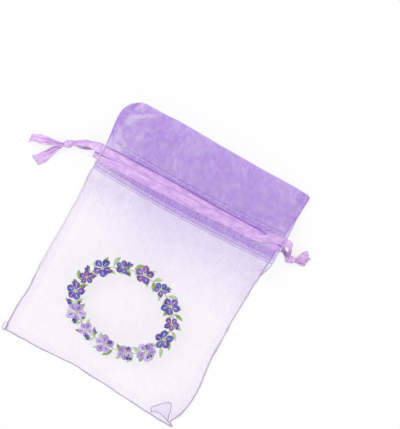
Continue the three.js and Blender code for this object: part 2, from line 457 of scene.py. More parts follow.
BOW_MIDDLE = -1.8  # sag of the casing towards the bottom, at its middle
BOW_LEAN = 0.7
BOW_CURVE = 1.3
BOW_FOOT = BOTTOM + 40  # the cloth follows the bottom edge below here, and the casing above
RIBBON_MIDDLE = -1.0  # of the two ribbons, from the middle of the straight casing
RIBBON_LEAN = 1.15
APART_LEFT = 1.5  # of each ribbon from that middle
APART_RIGHT = 0.6
EXIT_RISE = {"left": 0, "right": 3.9}  # how much higher a ribbon's front run comes out of the casing
END_EASE = 13  # length over which a ribbon leaves its lane at an end of the casing


def casing_bow(x):
    share = np.clip(x / EDGE, -1, 1)
    return BOW_MIDDLE + BOW_LEAN * share + BOW_CURVE * share ** 2


def ribbon_lane(side, x):
    """How far up the bag a ribbon lies, at a place along the casing."""
    apart = mix(APART_LEFT, APART_RIGHT, smooth(x, -20, 27))
    return CASING + RIBBON_MIDDLE + RIBBON_LEAN * x / EDGE - SIDES[side] * apart


def run_lane(side, layer, x):
    """How far up the bag one of a ribbon's two runs lies, at a place along the casing."""
    rise = EXIT_RISE[side] if layer == "front" else 0
    return ribbon_lane(side, x) + rise * smooth(SIDES[side] * x, EDGE - END_EASE, EDGE)


# Cloth shape

def front_level(x, y):
    """Underside of the front ply."""
    arch = 1 - (np.abs(x) / EDGE) ** ARCH_POWER
    belly = SEAM_LEVEL + BELLY_RISE * arch * smooth(y, BOTTOM, BOTTOM + BELLY_EASE)
    below = mix(belly, CASING_LEVEL, smooth(y, SEAM_TOP, HEM))
    above = mix(CASING_LEVEL, FRILL_LEVEL + MOUTH_RISE * arch, smooth(y, UPPER_ROW, FRILL_SEAM))
    return np.where(y <= HEM, below, above)


def pocket(y):
    from_middle = np.abs(y - CASING) / (UPPER_ROW - CASING)
    return mix(CASING_POCKET, PLY_GAP, smooth(from_middle, POCKET_FLAT, 1))


def folds(x, y, pitch, seed):
    """Uneven upright folds across the bag, from 0 to about 1."""
    drift = 0.45 * pitch * noise(x / (2.6 * pitch), y / 40, seed)
    size = 0.62 + 0.38 * noise(x / (1.9 * pitch), y / 30, seed + 1)
    return size * (0.5 + 0.5 * np.sin(2 * np.pi * (x + drift) / pitch))


PUCKER_HEIGHT = 0.7
PUCKER_PITCH = 4.3
PUCKER_REACH = 7  # from the casing's rows, over which the puckers die down
FOLD_HEIGHT = 1.5
FOLD_PITCH = 11
FOLD_REACH = 30
FOLD_FAN = 0.004  # spread of the folds, per millimetre below the casing
LOW_ROLL = 2.0  # heights of the soft rolls beside the frill's left edge
HIGH_ROLL = 1.5
CREASE_HEIGHT = 0.9
CREASE_REACH = 11


def front_relief(x, y):
    """How far the front stands out from its plain shape: puckers along the casing and slack elsewhere."""
    below = np.maximum(LOWER_ROW - y, 0)
    above = np.maximum(y - UPPER_ROW, 0)
    near = np.exp(-(below + above) / PUCKER_REACH)
    fan = x * (1 + FOLD_FAN * below)
    short = PUCKER_HEIGHT * near * folds(fan, y, PUCKER_PITCH, 11)
    inside = 1 - 0.8 * smooth(np.minimum(y - LOWER_ROW, UPPER_ROW - y), 0, 2)
    long = FOLD_HEIGHT * np.exp(-below / FOLD_REACH) * (1 - near) * folds(fan, y, FOLD_PITCH, 23)
    slack = 0.45 * noise(x / 19, y / 23, 5) + 0.25 * noise((x + y) / 9, (x - y) / 16, 6)
    slack = (slack + 0.5) * smooth(below + 0.8 * above, 0, 18)
    rumple = noise(x / 5.5, y / 8, 35) + 0.6 * noise((x - y) / 4.5, (x + y) / 6, 36)
    puff = left_rolls(x, y) + smooth(above, 1, 8) * (0.1 + 0.6 * smooth(-x, 16, 38)) * (rumple + 0.8)
    creases = exit_creases(x, y, -1) + exit_creases(x, y, 1)
    from_side = EDGE - np.abs(x)
    near_seam = np.minimum(smooth(from_side, 0, 6), smooth(y - BOTTOM, 0, 8))
    return short * inside * smooth(from_side, -1, 3) + (long + slack + puff + creases) * near_seam


def left_rolls(x, y):
    """Two soft rolls beside the frill's left edge, one leaning in to the casing and one to the mouth."""
    along = (y - UPPER_ROW) / (MOUTH - UPPER_ROW)
    stray = 1.1 * noise(y / 4, 0.5, 37)
    low = -EDGE + 0.8 + 36 * np.maximum(0.5 - along, 0) ** 2 + stray
    high = -EDGE + 4.2 + 32 * np.maximum(along - 0.4, 0) ** 2 + stray
    low_roll = LOW_ROLL * bell(x, low, 1.6) * hump(along, 0.02, 0.18, 0.5, 0.8)
    high_roll = HIGH_ROLL * bell(x, high, 1.8) * hump(along, 0.3, 0.55, 0.75, 0.97)
    return low_roll + high_roll


def exit_creases(x, y, sign):
    """Creases that fan out from one end of the casing."""
    out = EDGE - sign * x
    up = y - CASING
    distance = np.hypot(out, up)
    ridges = 0.5 + 0.5 * np.sin(11 * np.arctan2(up, out) + 2 * noise(out / 9, up / 9, 33) + sign)
    return CREASE_HEIGHT * np.exp(-distance / CREASE_REACH) * smooth(np.abs(up), 5, 9) * ridges


def back_relief(x, y):
    slack = 0.12 + 0.12 * noise(x / 17, y / 21, 41)
    return slack * smooth(np.abs(y - CASING), 6, 14)


def seam_pinch(x, y):
    """1 where front and back are sewn together, along the sides below the slits and along the bottom."""
    side = smooth(np.abs(x), EDGE - 5, EDGE) * (1 - smooth(y, SEAM_TOP - 8, SEAM_TOP + 4))
    foot = smooth(-y, -BOTTOM - 5, -BOTTOM)
    return np.maximum(side, foot)


def frill_pinch(x, y):
    """1 where front and back are sewn together beside the frill."""
    return smooth(np.abs(x), EDGE - 4, EDGE) * smooth(y, FRILL_SEAM - 3, FRILL_SEAM + 3)


ROLL_LEVEL = 0.72  # middle of the rolled edge where front and back are sewn together
ROLL_GAP = 0.3  # from there to each ply
FRILL_SINK = 0.5  # of the front ply where it is sewn down beside the frill
MOUTH_SLACK = 0.8  # how far the mouth's edge strays up and down
LEFT_DIP = 0.7  # how far the left edge is drawn in below the casing
LEFT_NIP = 0.5  # and a little more, a quarter of the way up to the casing
RIGHT_DIP = 1.0
RIGHT_SWING = 1.9  # how far the right edge stands out a little above its bottom corner
CORNER_CUT = 1.9  # how far it is drawn in next to that corner's tip
FOOT_DROP = 0.6  # how low the bottom edge lies
FOOT_RISE = 0.5  # of the bottom edge, left of its middle
FOOT_LEAN = 3.4  # how much lower it lies at its right end
FRILL_ROUND = {-1: 7.5, 1: 1.1}  # radius of each top corner
FRILL_FLARE = 1.3  # how far the frill's left edge stands out half way up
FRILL_SPREAD = 0.9  # how far its right edge stands out at the mouth


def stand_out(x, height):
    """How far the side edges stand out of straight lines."""
    below = 1 - smooth(height, 68, 86)
    left = -LEFT_DIP * below - LEFT_NIP * bell(height, 22, 6)
    swing = RIGHT_SWING * hump(height, 2, 15, 14, 36)
    cut = CORNER_CUT * hump(height, 0, 1.2, 1, 7)
    right = swing - RIGHT_DIP * smooth(height, 20, 55) * below - cut
    return np.where(x < 0, left, right) + 0.15 * noise(height / 11, np.sign(x), 71)


def foot_line(x):
    """How far the bottom edge lies from a straight line."""
    rise = FOOT_RISE * bell(x, -10, 8)
    return rise - FOOT_DROP - FOOT_LEAN * smooth(x, -8, EDGE + 1) + 0.1 * noise(x / 9, 0.5, 73)


def settle(points):
    """Moves points of the straight bag to where its slack edges, its casing and its corners lie."""
    x, y = points[..., 0], points[..., 1]
    reach = (np.abs(x) / EDGE) ** 3
    left_flare = FRILL_FLARE * bell(y, (UPPER_ROW + MOUTH) / 2, 7)
    flare = np.where(x < 0, left_flare, FRILL_SPREAD * smooth(y, UPPER_ROW, MOUTH))
    moved = points.copy()
    moved[..., 0] += np.sign(x) * reach * (stand_out(x, y - BOTTOM) + flare)
    foot = (1 - smooth(y, BOTTOM, BOW_FOOT)) * foot_line(x)
    top = smooth(y, FRILL_SEAM - 6, MOUTH) * MOUTH_SLACK * noise(x / 17, 0.5, 74)
    sag = casing_bow(x) * hump(y, BOW_FOOT, LOWER_ROW, UPPER_ROW, MOUTH)
    moved[..., 1] += foot + top + sag
    for sign, radius in FRILL_ROUND.items():
        out = np.maximum(sign * x - EDGE + radius, 0) / radius
        up = np.maximum(y - MOUTH + radius, 0) / radius
        moved[..., 0] -= sign * radius * out * (1 - np.sqrt(1 - up * up / 2))
        moved[..., 1] -= radius * up * (1 - np.sqrt(1 - out * out / 2))
    return moved


def front_outer(x, y):
    level = front_level(x, y) + CLOTH / 2 + front_relief(x, y)
    level = mix(level, ROLL_LEVEL + ROLL_GAP, seam_pinch(x, y))
    return mix(level, FRILL_LEVEL - FRILL_SINK, frill_pinch(x, y))


def back_outer(x, y):
    level = CLOTH / 2 + back_relief(x, y)
    return mix(level, ROLL_LEVEL - ROLL_GAP, seam_pinch(x, y))


def front_inner(x, y):
    return front_outer(x, y) - pocket(y) - CLOTH


def back_inner(x, y):
    return back_outer(x, y) + pocket(y) + CLOTH


columns = np.linspace(-EDGE, EDGE, 2 * round(EDGE / GRID_STEP) + 1)
middle_column = len(columns) // 2


def spread(start, end):
    return np.linspace(start, end, round(abs(end - start) / GRID_STEP) + 1)


def sheet_grid(outer, inner):
    """A panel as one cloth: up the outside, round the fold at the mouth and down the inside to the hem."""
    rows = []
    lengths = []
    body = spread(BOTTOM, LOWER_ROW)
    for y in np.concatenate([body, spread(LOWER_ROW, MOUTH)[1:]]):
        rows.append(points_at(columns, y, outer(columns, y)))
        lengths.append(y - BOTTOM)
    top = rows[-1][:, 2]
    under = inner(columns, MOUTH)
    for turn in np.linspace(0, np.pi, FOLD_ROWS + 2)[1:-1]:
        z = (top + under) / 2 + (top - under) / 2 * np.cos(turn)
        rows.append(points_at(columns, MOUTH + np.abs(top - under) / 2 * np.sin(turn), z))
        run = np.abs(top - under).mean() / 2 * turn
        lengths.append(MOUTH - BOTTOM + run)
    for y in spread(MOUTH, HEM):
        rows.append(points_at(columns, y, inner(columns, y)))
        lengths.append(MOUTH - BOTTOM + run + MOUTH - y)
    return np.array(rows), np.array(lengths), len(body) - 1


BODY_DENSITY = 4.2  # cloth just below the casing, against the flat cloth at the bottom
CASING_DENSITY = 6.5
TOP_DENSITY = 5.8
RIBBON_THINNING = 0.68  # the cloth is drawn smooth where the ribbons fill the casing


def cloth_density(straight, normals):
    """How thickly the threads lie, against the flat cloth: more in the gathers and on slopes."""
    x, y = straight[..., 0], straight[..., 1]
    gathers_from = BOTTOM + mix(60, 46, smooth(x, -EDGE, 0))
    gathered = mix(1, BODY_DENSITY, smooth(y, gathers_from, LOWER_ROW + 6))
    # Painted light: the casing's cloth thins towards the left end, and the ribbons' thinning runs on to that
    # end, so it renders paler as if lit from the left.
    casing = CASING_DENSITY * (1 - 0.5 * smooth(-x, EDGE - 16, EDGE - 3))
    gathered = mix(gathered, casing, smooth(y, LOWER_ROW - 0.4, LOWER_ROW + 0.4))
    gathered = mix(gathered, TOP_DENSITY, smooth(y, UPPER_ROW - 0.5, UPPER_ROW + 0.7))
    bow = casing_bow(x)
    lower = ribbon_lane("right", x) - bow - RIBBON_WIDTH / 2
    upper = np.maximum(ribbon_lane("left", x), run_lane("right", "front", x)) - bow + RIBBON_WIDTH / 2
    filled = smooth(np.minimum(y - lower, upper - y), -0.5, 0.3) * smooth(EDGE - x, 0, 2)
    gathered *= 1 - RIBBON_THINNING * filled
    slope = 1 / np.maximum(np.abs(normals[..., 2]), 0.45)
    uneven = 1 + 0.1 * noise(x / 13, y / 24, 51) + 0.06 * noise(x / 2.3, y / 3.5, 52)
    crumpled = 1 + 0.9 * np.exp(-((x - EDGE + 3) ** 2 + (y - BOTTOM - 3) ** 2) / 90)
    return gathered * slope * (uneven + 0.2 * noise(x / 1.3, y / 1.6, 53)) * crumpled


def blurred(values, reach):
    """Values averaged over a square of the grid."""
    kernel = np.full(2 * reach + 1, 1 / (2 * reach + 1))
    padded = np.pad(values, reach, mode="edge")
    rows = np.apply_along_axis(np.convolve, 0, padded, kernel, "valid")
    return np.apply_along_axis(np.convolve, 1, rows, kernel, "valid")


def painted_fold_highlights(straight, heights):
    """Towards 1 along the tops of the folds, most towards the frill's left end: painted highlights on the
    fold tops.
    """
    crumpled = mix(0.15, 0.85, smooth(-straight[..., 0], EDGE - 20, EDGE - 9))
    return crumpled * smooth(heights - blurred(heights, 4), 0.05, 0.45)


def add_panel(name, outer, inner, outwards):
    """The four pieces of one panel: left and right halves of its body and of its casing and frill."""
    straight, lengths, split = sheet_grid(outer, inner)
    points = settle(straight)
    normals = unit(np.cross(np.gradient(points, axis=1), np.gradient(points, axis=0)) * outwards)
    density = cloth_density(straight, normals)
    # Painted highlights along the fold tops, which the material turns paler.
    fold_top_highlight = painted_fold_highlights(straight, points[..., 2] * outwards)
    uvs = points_at(*np.meshgrid(columns, lengths))
    zones = {"body": slice(0, split + 1), "top": slice(split, len(points))}
    halves = {"left": slice(0, middle_column + 1), "right": slice(middle_column, len(columns))}
    for zone, rows in zones.items():
        for half, part in halves.items():
            piece = add_cloth(
                f"{name}_{zone}_{half}", sheet(points[rows, part], uvs[rows, part], flipped=outwards < 0),
                half, zone, ORGANZA, normals[rows, part].reshape(-1, 3),
                closeness=density[rows, part], paleness=fold_top_highlight[rows, part],
            )
            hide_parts(f"{name}_panel", *([f"{name}_facing"] if zone == "top" else []))


add_panel("front", front_outer, front_inner, 1)
add_panel("back", back_outer, back_inner, -1)


# Rolled edges, where the cloth is turned at the seams and slits

# Painted light on the rolled edges: paler on the left, as if lit from that side.
EDGE_PAINTED_LIGHT = {"left": 0.9, "right": 0.25}
SIDE_ROLL = 0.3
FOOT_ROLL = 0.32
TOP_ROLL = 0.24
EDGE_STRAY = (0.18, 0.18, 0.05)  # from its line, along each axis


def open_casing(y):
    """1 where the plies stand apart for the ribbons."""
    return 1 - smooth(np.abs(y - CASING) / (UPPER_ROW - CASING), OPENING_FLAT, 1)


def rim(outer, inner):
    """A panel's edge lies between its plies, and along the outer one where the casing is open."""
    def level(x, y):
        return mix((outer(x, y) + inner(x, y)) / 2, outer(x, y), open_casing(y))

    return level


def edge_run(sign, level, start, end):
    """A line along one side of the bag, at the height of the cloth there."""
    ys = spread(start, end)
    xs = np.full_like(ys, sign * EDGE)
    return settle(points_at(xs, ys, level(xs, ys)))


def rolled(path, thickness, seed):
    """An edge uneven in thickness, straying a little from its line."""
    steps = np.arange(len(path))
    stray = points_at(*(noise(steps / 5, k + 0.5, seed) for k in range(3)))
    line = path + stray * EDGE_STRAY
    radii = thickness * (1 + 0.3 * noise(steps / 4, 0.5, seed + 9))
    line[:, 2] = np.maximum(line[:, 2], radii)
    return tube(line, radii)


def add_edges(half):
    sign = SIDES[half]
    foot = settle(points_at(spread(0, sign * EDGE), BOTTOM, ROLL_LEVEL))
    body = [
        rolled(edge_run(sign, front_outer, BOTTOM, LOWER_ROW), SIDE_ROLL, 81),
        rolled(edge_run(sign, back_outer, BOTTOM, LOWER_ROW), SIDE_ROLL, 82),
        rolled(foot, FOOT_ROLL, 83),
    ]
    top = [
        rolled(edge_run(sign, rim(front_outer, front_inner), LOWER_ROW, MOUTH), TOP_ROLL, 84),
        rolled(edge_run(sign, rim(back_outer, back_inner), LOWER_ROW, MOUTH), TOP_ROLL, 85),
    ]
    for zone, parts, material in (("body", body, ROLLED), ("top", top, FRILL_ROLLED)):
        shape = join(parts)
        # Painted light: the edges go paler from some way up the bag, most on the left side.
        paleness = EDGE_PAINTED_LIGHT[half] * smooth(shape[0][:, 1], BOTTOM + 18, BOTTOM + 40)
        add_cloth(f"{half}_{zone}_edge", shape, half, zone, material, paleness=paleness)


# Seam allowances, turned inside

ALLOWANCE_DENSITY = 0.3
ALLOWANCE_INSET = 0.4  # of an allowance's outer line, from the edge of the bag
ALLOWANCE_RAGGED = 0.5  # how far its cut strays


def allowance(lines, level, lift, seed):
    """Two plies between two lines of points, lying on each other."""
    outer, inner = (line[:, None] for line in lines)
    shares = np.linspace(0, 1, 6)[:, None]
    flat = outer * (1 - shares) + inner * shares
    x, y = flat[..., 0], flat[..., 1]
    parts = []
    for ply in (0, 1):
        ripple = 0.07 * noise(x / 6, y / 6, seed + ply)
        parts.append(sheet(settle(points_at(x, y, level + lift * ply + ripple)), flat))
    return join(parts)


def add_allowance(name, half, zone, lines, node_name):
    low, high = box_mm(node_name)
    lift = (high[2] - low[2]) / 2
    shape = allowance(lines, low[2] + lift / 2, lift, 91)
    piece = add_cloth(name, shape, half, zone, ORGANZA, closeness=ALLOWANCE_DENSITY)
    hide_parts(node_name)


def side_lines(sign, ys, seed):
    """The outer and the cut line of an allowance along one side."""
    cut = EDGE - SEAM_WIDTH + ALLOWANCE_RAGGED * noise(ys / 9, 0.5, seed)
    return points_at(sign * (EDGE - ALLOWANCE_INSET), ys), points_at(sign * cut, ys)


def add_seams(half):
    sign = SIDES[half]
    side = side_lines(sign, spread(BOTTOM + SEAM_WIDTH, SEAM_TOP), 92)
    add_allowance(f"{half}_seam_allowance", half, "body", side, f"{half}_side_seam")
    xs = spread(0, sign * (EDGE - ALLOWANCE_INSET))
    cut = BOTTOM + SEAM_WIDTH + ALLOWANCE_RAGGED * noise(xs / 9, 0.5, 93)
    foot = points_at(xs, BOTTOM + ALLOWANCE_INSET), points_at(xs, cut)
    add_allowance(f"{half}_bottom_allowance", half, "body", foot, "bottom_seam")
    frill = side_lines(sign, spread(FRILL_SEAM, MOUTH - ALLOWANCE_INSET), 94)
    add_allowance(f"{half}_frill_allowance", half, "top", frill, f"{half}_frill_seam")


# Stitches

STITCH_PITCH = 2.6
STITCH_GAP = 0.35
STITCH_RADIUS = 0.16
STITCH_SINK = 0.16


def add_stitches(half):
    sign = SIDES[half]
    for face, level in (("front", front_outer), ("back", back_inner)):
        for row, y in (("upper", UPPER_ROW), ("lower", LOWER_ROW)):
            reach = box_mm(f"{face}_{row}_stitch")[1][0]
            parts = []
            for start in np.arange(STITCH_GAP / 2, reach - STITCH_PITCH / 2, STITCH_PITCH):
                along = np.linspace(0, 1, 6)
                arch = np.sin(np.pi * along)
                x = sign * (start + along * (STITCH_PITCH - STITCH_GAP))
                z = level(x, y) + STITCH_RADIUS + STITCH_SINK * (arch - 1)
                parts.append(tube(settle(points_at(x, y, z)), STITCH_RADIUS * (0.6 + 0.4 * arch), 6))
            piece = add_piece(f"{face}_{row}_stitches_{half}", join(parts), [THREAD])
            gather(piece)
            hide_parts(f"{face}_{row}_stitch")


HEM_RADIUS = 0.15


def add_hems(half):
    """The folded lower edge of each facing."""
    x = spread(0, SIDES[half] * EDGE)
    for face, level in (("front", front_inner), ("back", back_inner)):
        path = settle(points_at(x, HEM, level(x, HEM)))
        wander = 1 + 0.3 * noise(x / 3, 0.5, 86)
        add_cloth(f"{face}_hem_{half}", tube(path, HEM_RADIUS * wander), half, "top", FRILL_ROLLED)


for half in SIDES:
    add_hems(half)
    add_edges(half)
    add_seams(half)
    add_stitches(half)


# Bottom corners: a loop of loose thread on the left, and the end of the seam turned back inside on the right

LOOP_MIDDLE = (-EDGE + 0.4, BOTTOM + 0.9, ROLL_LEVEL + 0.35)
LOOP_RADII = (1.15, 1.95, 0.3)
LOOP_THREAD = 0.19


def add_corner_loop():
    turn = np.linspace(-0.5 * np.pi, 1.5 * np.pi, 30)
    path = LOOP_MIDDLE + LOOP_RADII * points_at(np.cos(turn), np.sin(turn), np.cos(turn))
    piece = add_piece("corner_thread_loop", tube(path, LOOP_THREAD, 7), [ROLLED])
    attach(piece, "bag")


# Outline of the turned flap: places along the bottom edge and heights above it
TUCK_OUTLINE = (
    (33.8, 1.4), (32.7, 2.9), (33.2, 4.3), (35.4, 7.4), (38.0, 9.2),
    (39.4, 7.6), (41.7, 3.9), (44.3, 1.0),
)
TUCK_FOOT = 1.1  # height of the flap's lower line at its ends
TUCK_SWELL = 1.7  # and how much higher it is between them
TUCK_DEPTH = 0.55  # the flap's place between the back and the front
TUCK_DENSITY = 1.8


def add_corner_tuck():
    outline = through(TUCK_OUTLINE, 5)
    share = np.linspace(0, 1, len(outline))
    foot = TUCK_FOOT + TUCK_SWELL * np.sin(np.pi * share ** 0.7)
    base = points_at(mix(outline[0, 0], outline[-1, 0], share), foot)
    rise = np.linspace(0, 1, 8)[:, None, None]
    flat = base * (1 - rise) + outline * rise + [0, BOTTOM]
    x, y = flat[..., 0], flat[..., 1]
    level = mix(back_outer(x, y), front_outer(x, y), TUCK_DEPTH) + 0.1 * noise(x / 1.6, y / 1.6, 63)
    grid = settle(points_at(x, y, level))
    add_cloth("corner_tuck", sheet(grid, flat), "right", "body", ORGANZA, closeness=TUCK_DENSITY)
    lines = [tube(grid[-1], 0.22 + 0.05 * noise(share * 12, 0.5, 64), 7), tube(grid[0], 0.18, 6)]
    add_cloth("corner_tuck_edge", join(lines), "right", "body", ROLLED)

add_corner_loop()
add_corner_tuck()


# Printed wreath of blossoms and leaves, laid on the front cloth stroke by stroke

INKS = {
    "violet": ink_material("ink_violet", "8A63BE", "553A94", 0.92),
    "indigo": ink_material("ink_indigo", "6A66BE", "3D3F92", 0.92),
    "plum": ink_material("ink_plum", "9A5CA6", "64357F", 0.92),
    "lilac": ink_material("ink_lilac", "D9C8F2", "B79DE0", 0.9),
    "mauve": ink_material("ink_mauve", "C9ADE4", "A583CC", 0.9),
    "green": ink_material("ink_green", "9FB860", "6D8A3E", 0.9),
    "sage": ink_material("ink_sage", "CAD8B4", "A3BC8C", 0.88),
}
WREATH_MIDDLE = np.array([-2.0, -24.5])
WREATH_RADII = np.array([23.0, 18.5])
INK_LIFT = 0.05
INK_LAYER = 0.01


def heading(degrees):
    """A direction in the plane of the bag, from straight up towards the right."""
    angle = math.radians(degrees)
    return np.array([math.sin(angle), math.cos(angle)])


def on_wreath(degrees):
    return WREATH_MIDDLE + WREATH_RADII * heading(degrees)


class Print:
    """Brush strokes on the front cloth, kept by half of the bag."""

    def __init__(self):
        self.strokes = {half: [] for half in SIDES}

    def stroke(self, ink, spine, widths, layer):
        tangents = tangents_of(spine)
        asides = points_at(-tangents[:, 1], tangents[:, 0])
        across = np.array([-1, 0, 1])[:, None] * widths[:, None, None]
        flat = spine[:, None] + asides[:, None] * across
        x, y = flat[..., 0], flat[..., 1]
        grid = settle(points_at(x, y, front_outer(x, y) + INK_LIFT + INK_LAYER * layer))
        half = "left" if spine[:, 0].mean() < 0 else "right"
        self.strokes[half].append((ink, sheet(grid, flat, flipped=True)))

    def petal(self, ink, root, direction, length, width, layer):
        """A tapered stroke, fullest past its middle."""
        share = np.linspace(0, 1, 9)
        spine = root + share[:, None] * length * direction
        self.stroke(ink, spine, width * np.sin(np.pi * np.clip(share, 0.03, 0.98) ** 1.4) ** 0.7, layer)

    def leaf(self, ink, root, lean, length, width):
        """A pointed, bending leaf with a midrib."""
        share = np.linspace(0, 1, 12)
        bend = np.radians(lean + 34 * share)
        steps = points_at(np.sin(bend), np.cos(bend)) * length / len(share)
        spine = root + np.cumsum(steps, axis=0)
        self.stroke(ink, spine, width * np.sin(np.pi * np.clip(share, 0.02, 0.99)), 1)
        self.stroke("green", spine[:-2], np.full(len(share) - 2, 0.08), 2)

    def blossom(self, middle, size, inks, mark, turn, chance):
        """Five round petals, a fine mark on each, and an eye."""
        for k in range(5):
            out = heading(turn + 72 * k + chance.uniform(-7, 7))
            long = size * chance.uniform(0.9, 1.08)
            self.petal(inks[k % len(inks)], middle + 0.1 * size * out, out, long, 0.42 * size, 4 + k % 2)
            self.petal(mark, middle + 0.3 * size * out, out, 0.5 * long, 0.06 * size, 7)
        self.petal("sage", middle - 0.24 * size * heading(turn), heading(turn), 0.48 * size, 0.2 * size, 8)

    def bud(self, root, lean, size, inks):
        """Two petals in a green cup."""
        for k, ink in enumerate(inks):
            self.petal(ink, root, heading(lean + 24 * (2 * k - 1)), size, 0.32 * size, 4 + k)
        self.petal("green", root - 0.3 * size * heading(lean), heading(lean), 0.7 * size, 0.2 * size, 6)

    def place(self):
        names = list(INKS)
        for half, strokes in self.strokes.items():
            piece = add_piece(
                f"print_{half}", join([shape for _, shape in strokes]), list(INKS.values()),
                indices=[names.index(ink) for ink, shape in strokes for _ in shape[1]],
            )
            gather(piece)


def add_blossoms(wreath, angles, stray, sizes, inks, mark, chance):
    """Blossoms along the ring, with sizes and inks that take turns."""
    for index, angle in enumerate(angles):
        middle = on_wreath(angle) + chance.uniform(-stray, stray) * heading(angle)
        size = sizes[index % len(sizes)]
        wreath.blossom(middle, size, inks[index % len(inks)], mark, chance.uniform(0, 72), chance)


def add_print():
    wreath = Print()
    chance = np.random.default_rng(7)
    ring = np.stack([on_wreath(angle) for angle in range(0, 361, 4)])
    wreath.stroke("green", ring, np.full(len(ring), 0.17), 0)
    for angle in range(0, 360, 12):
        root = on_wreath(angle)
        for side in (-1, 1):
            ink = "sage" if (angle // 12 + side) % 3 else "green"
            lean = angle + 73 - 48 * side
            wreath.leaf(ink, root, lean, chance.uniform(4.8, 6.6), chance.uniform(0.85, 1.2))
    for angle in range(6, 360, 24):
        out = heading(angle)
        for offset, turn, sizes, ink in ((1.2, 0, (1.9, 2.5), "indigo"), (-1.2, 180, (1.6, 2.1), "plum")):
            lean = angle + turn + chance.uniform(-25, 25)
            wreath.bud(on_wreath(angle) + offset * out, lean, chance.uniform(*sizes), (ink, "violet"))
    dark = (("violet", "indigo"), ("plum", "violet"), ("indigo", "violet"))
    add_blossoms(wreath, range(-100, 101, 25), 0.6, (4.0, 3.1), dark, "lilac", chance)
    add_blossoms(wreath, range(128, 233, 26), 0.5, (4.2, 3.4), (("mauve", "lilac"),), "violet", chance)
    wreath.place()


add_print()


# Drawstrings

RIBBON = 0.3  # room for the ribbon's thickness in the solid model
WEAVE = 0.18  # the ribbon's own thickness
# The right ribbon's runs lie this far outside their places in the solid model, and the left one's inside
LAP = 0.2
BACK_RISE = 0.15  # of the back runs, clear of the rolled edge of the cloth under them
TURN_WIDTH = 2.5  # of the ribbon where it is bunched up to turn
TURN_REACH = {"left": 1.0, "right": 2.4}  # of each ribbon's turn, beyond the end of the casing
TURN_LANE = {"left": CASING - 0.6, "right": CASING - 4.2}  # how far up the bag each one turns
OPEN_END = 0.6  # of each ribbon, beyond the other end of the casing
TIED_WIDTH = 2
TAIL_WIDTH = 4.8
KNOT_LENGTH = 4.4
KNOT_FACE = KNOT_LENGTH / 2 - 0.6  # from the knot's middle to the ends of its strands and tails
KNOT_PITCH = 0.5
KNOT_TURNS = ((1, 0.4, 1.3), (-1, 2.6, 1.42))  # tilt, starting angle and radius of each
STRAND_STEPS = 24
STRAND_TWIST = {"front": 1.3, "back": 0.35}
STRAND_SEED = {"front": 126, "back": 125}
TAIL_TWIST = {"upper": 0.9, "lower": 0.3}
TAIL_SEED = {"upper": 142, "lower": 140}
ACROSS = 13  # points across a ribbon
JOIN = 0.15  # a strand starts this far inside the end of its ribbon
# Places on each strand from the end of the casing, the share of it that narrows, the way it runs where it
# bends if that isn't the pull's, how far back the knot sits, and the tails' length, swing and end height
PULLS = {
    "left": {
        "front": ((-4, -0.2), (-8, -1.6)), "back": ((-4, -0.9), (-8, -3.4)), "narrows": (0.4, 1),
        "bend": {}, "set_back": 0, "tail": 15, "upper": (-5, 2.0), "lower": (5, 0.5),
    },
    "right": {
        "front": ((1.2, 0.1), (2.4, -0.1), (3.5, -1.4), (4.6, -3.5)),
        "back": ((1.7, -0.3), (3.4, -1.0), (4.6, -1.7)), "narrows": (0.08, 0.48),
        "bend": {"front": (0.5, -0.87, 0)}, "set_back": 0.8, "tail": 6.5,
        "upper": (3.0, 2.0), "lower": (-0.4, 0.5),
    },
}


def satin_piece(name, shape, replaced):
    piece = add_piece(name, shape, [SATIN])
    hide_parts(replaced)
    return piece


def twisted(asides, ups, angles):
    """The two directions of a ribbon's section, turned about its line."""
    cosines = np.cos(angles)[:, None]
    sines = np.sin(angles)[:, None]
    return asides * cosines + ups * sines, ups * cosines - asides * sines


def band(centres, asides, ups, widths, crumple, seed, ragged=0.0, slant=0.0):
    """A closed ribbon along a line, with lengthwise folds as deep as crumple and a ragged, slanting end."""
    count = len(centres)
    across = np.linspace(-1, 1, ACROSS)
    lengths = path_lengths(centres)[:, None]
    depths = crumple[:, None]
    tangents = tangents_of(centres)
    wander = noise(lengths / 6, across * 0.6 + 3, seed)
    fold = np.sin(2.6 * np.pi * across + 1.3 * wander + seed)
    dents = noise(lengths / 1.7, across * 1.1 + 9, seed + 1)
    height = depths * (fold + 0.35 * wander + 0.45 * dents)
    ruffle = 1 + 0.35 * depths * noise(lengths / 2.1, 4 * np.sign(across) + 9.5, seed + 2)
    reach = across * ruffle * widths[:, None] / 2
    middle = centres[:, None] + asides[:, None] * reach[..., None] + ups[:, None] * height[..., None]
    if ragged:
        cut = ragged * np.random.default_rng(seed).uniform(-1, 1, ACROSS)
        middle[-1] += tangents[-1] * cut[:, None]
    leaning = slant * smooth(lengths / lengths[-1], 0.5, 1) * across
    middle = middle + tangents[:, None] * leaning[..., None]
    middle[..., 2] = np.maximum(middle[..., 2], WEAVE)
    edge = 1 + 0.15 * smooth(np.abs(across), 0.78, 0.9)
    half = ups[:, None] * (WEAVE / 2 * edge)[:, None]
    points = np.concatenate([(middle + half).reshape(-1, 3), (middle - half).reshape(-1, 3)])
    size = count * ACROSS
    top = grid_faces(count, ACROSS)
    faces = top + [[i + size for i in face[::-1]] for face in top]
    border = [*range(ACROSS), *range(2 * ACROSS - 1, size, ACROSS)]
    border += [*range(size - 2, size - ACROSS - 1, -1), *range(size - 2 * ACROSS, 0, -ACROSS)]
    for a, b in zip(border, border[1:] + border[:1]):
        faces.append([b, a, a + size, b + size])
    return points, faces, np.tile(points_at(lengths, reach).reshape(-1, 2), (2, 1))


def bezier(p0, p1, p2, p3, steps):
    t = np.linspace(0, 1, steps + 1)[:, None]
    return (1 - t) ** 3 * p0 + 3 * (1 - t) ** 2 * t * p1 + 3 * (1 - t) * t * t * p2 + t ** 3 * p3


def upright_frames(line):
    """Directions across a line and up from it, with the first level."""
    tangents = tangents_of(line)
    asides = unit(np.cross(UP, tangents))
    return -asides, np.cross(tangents, asides)


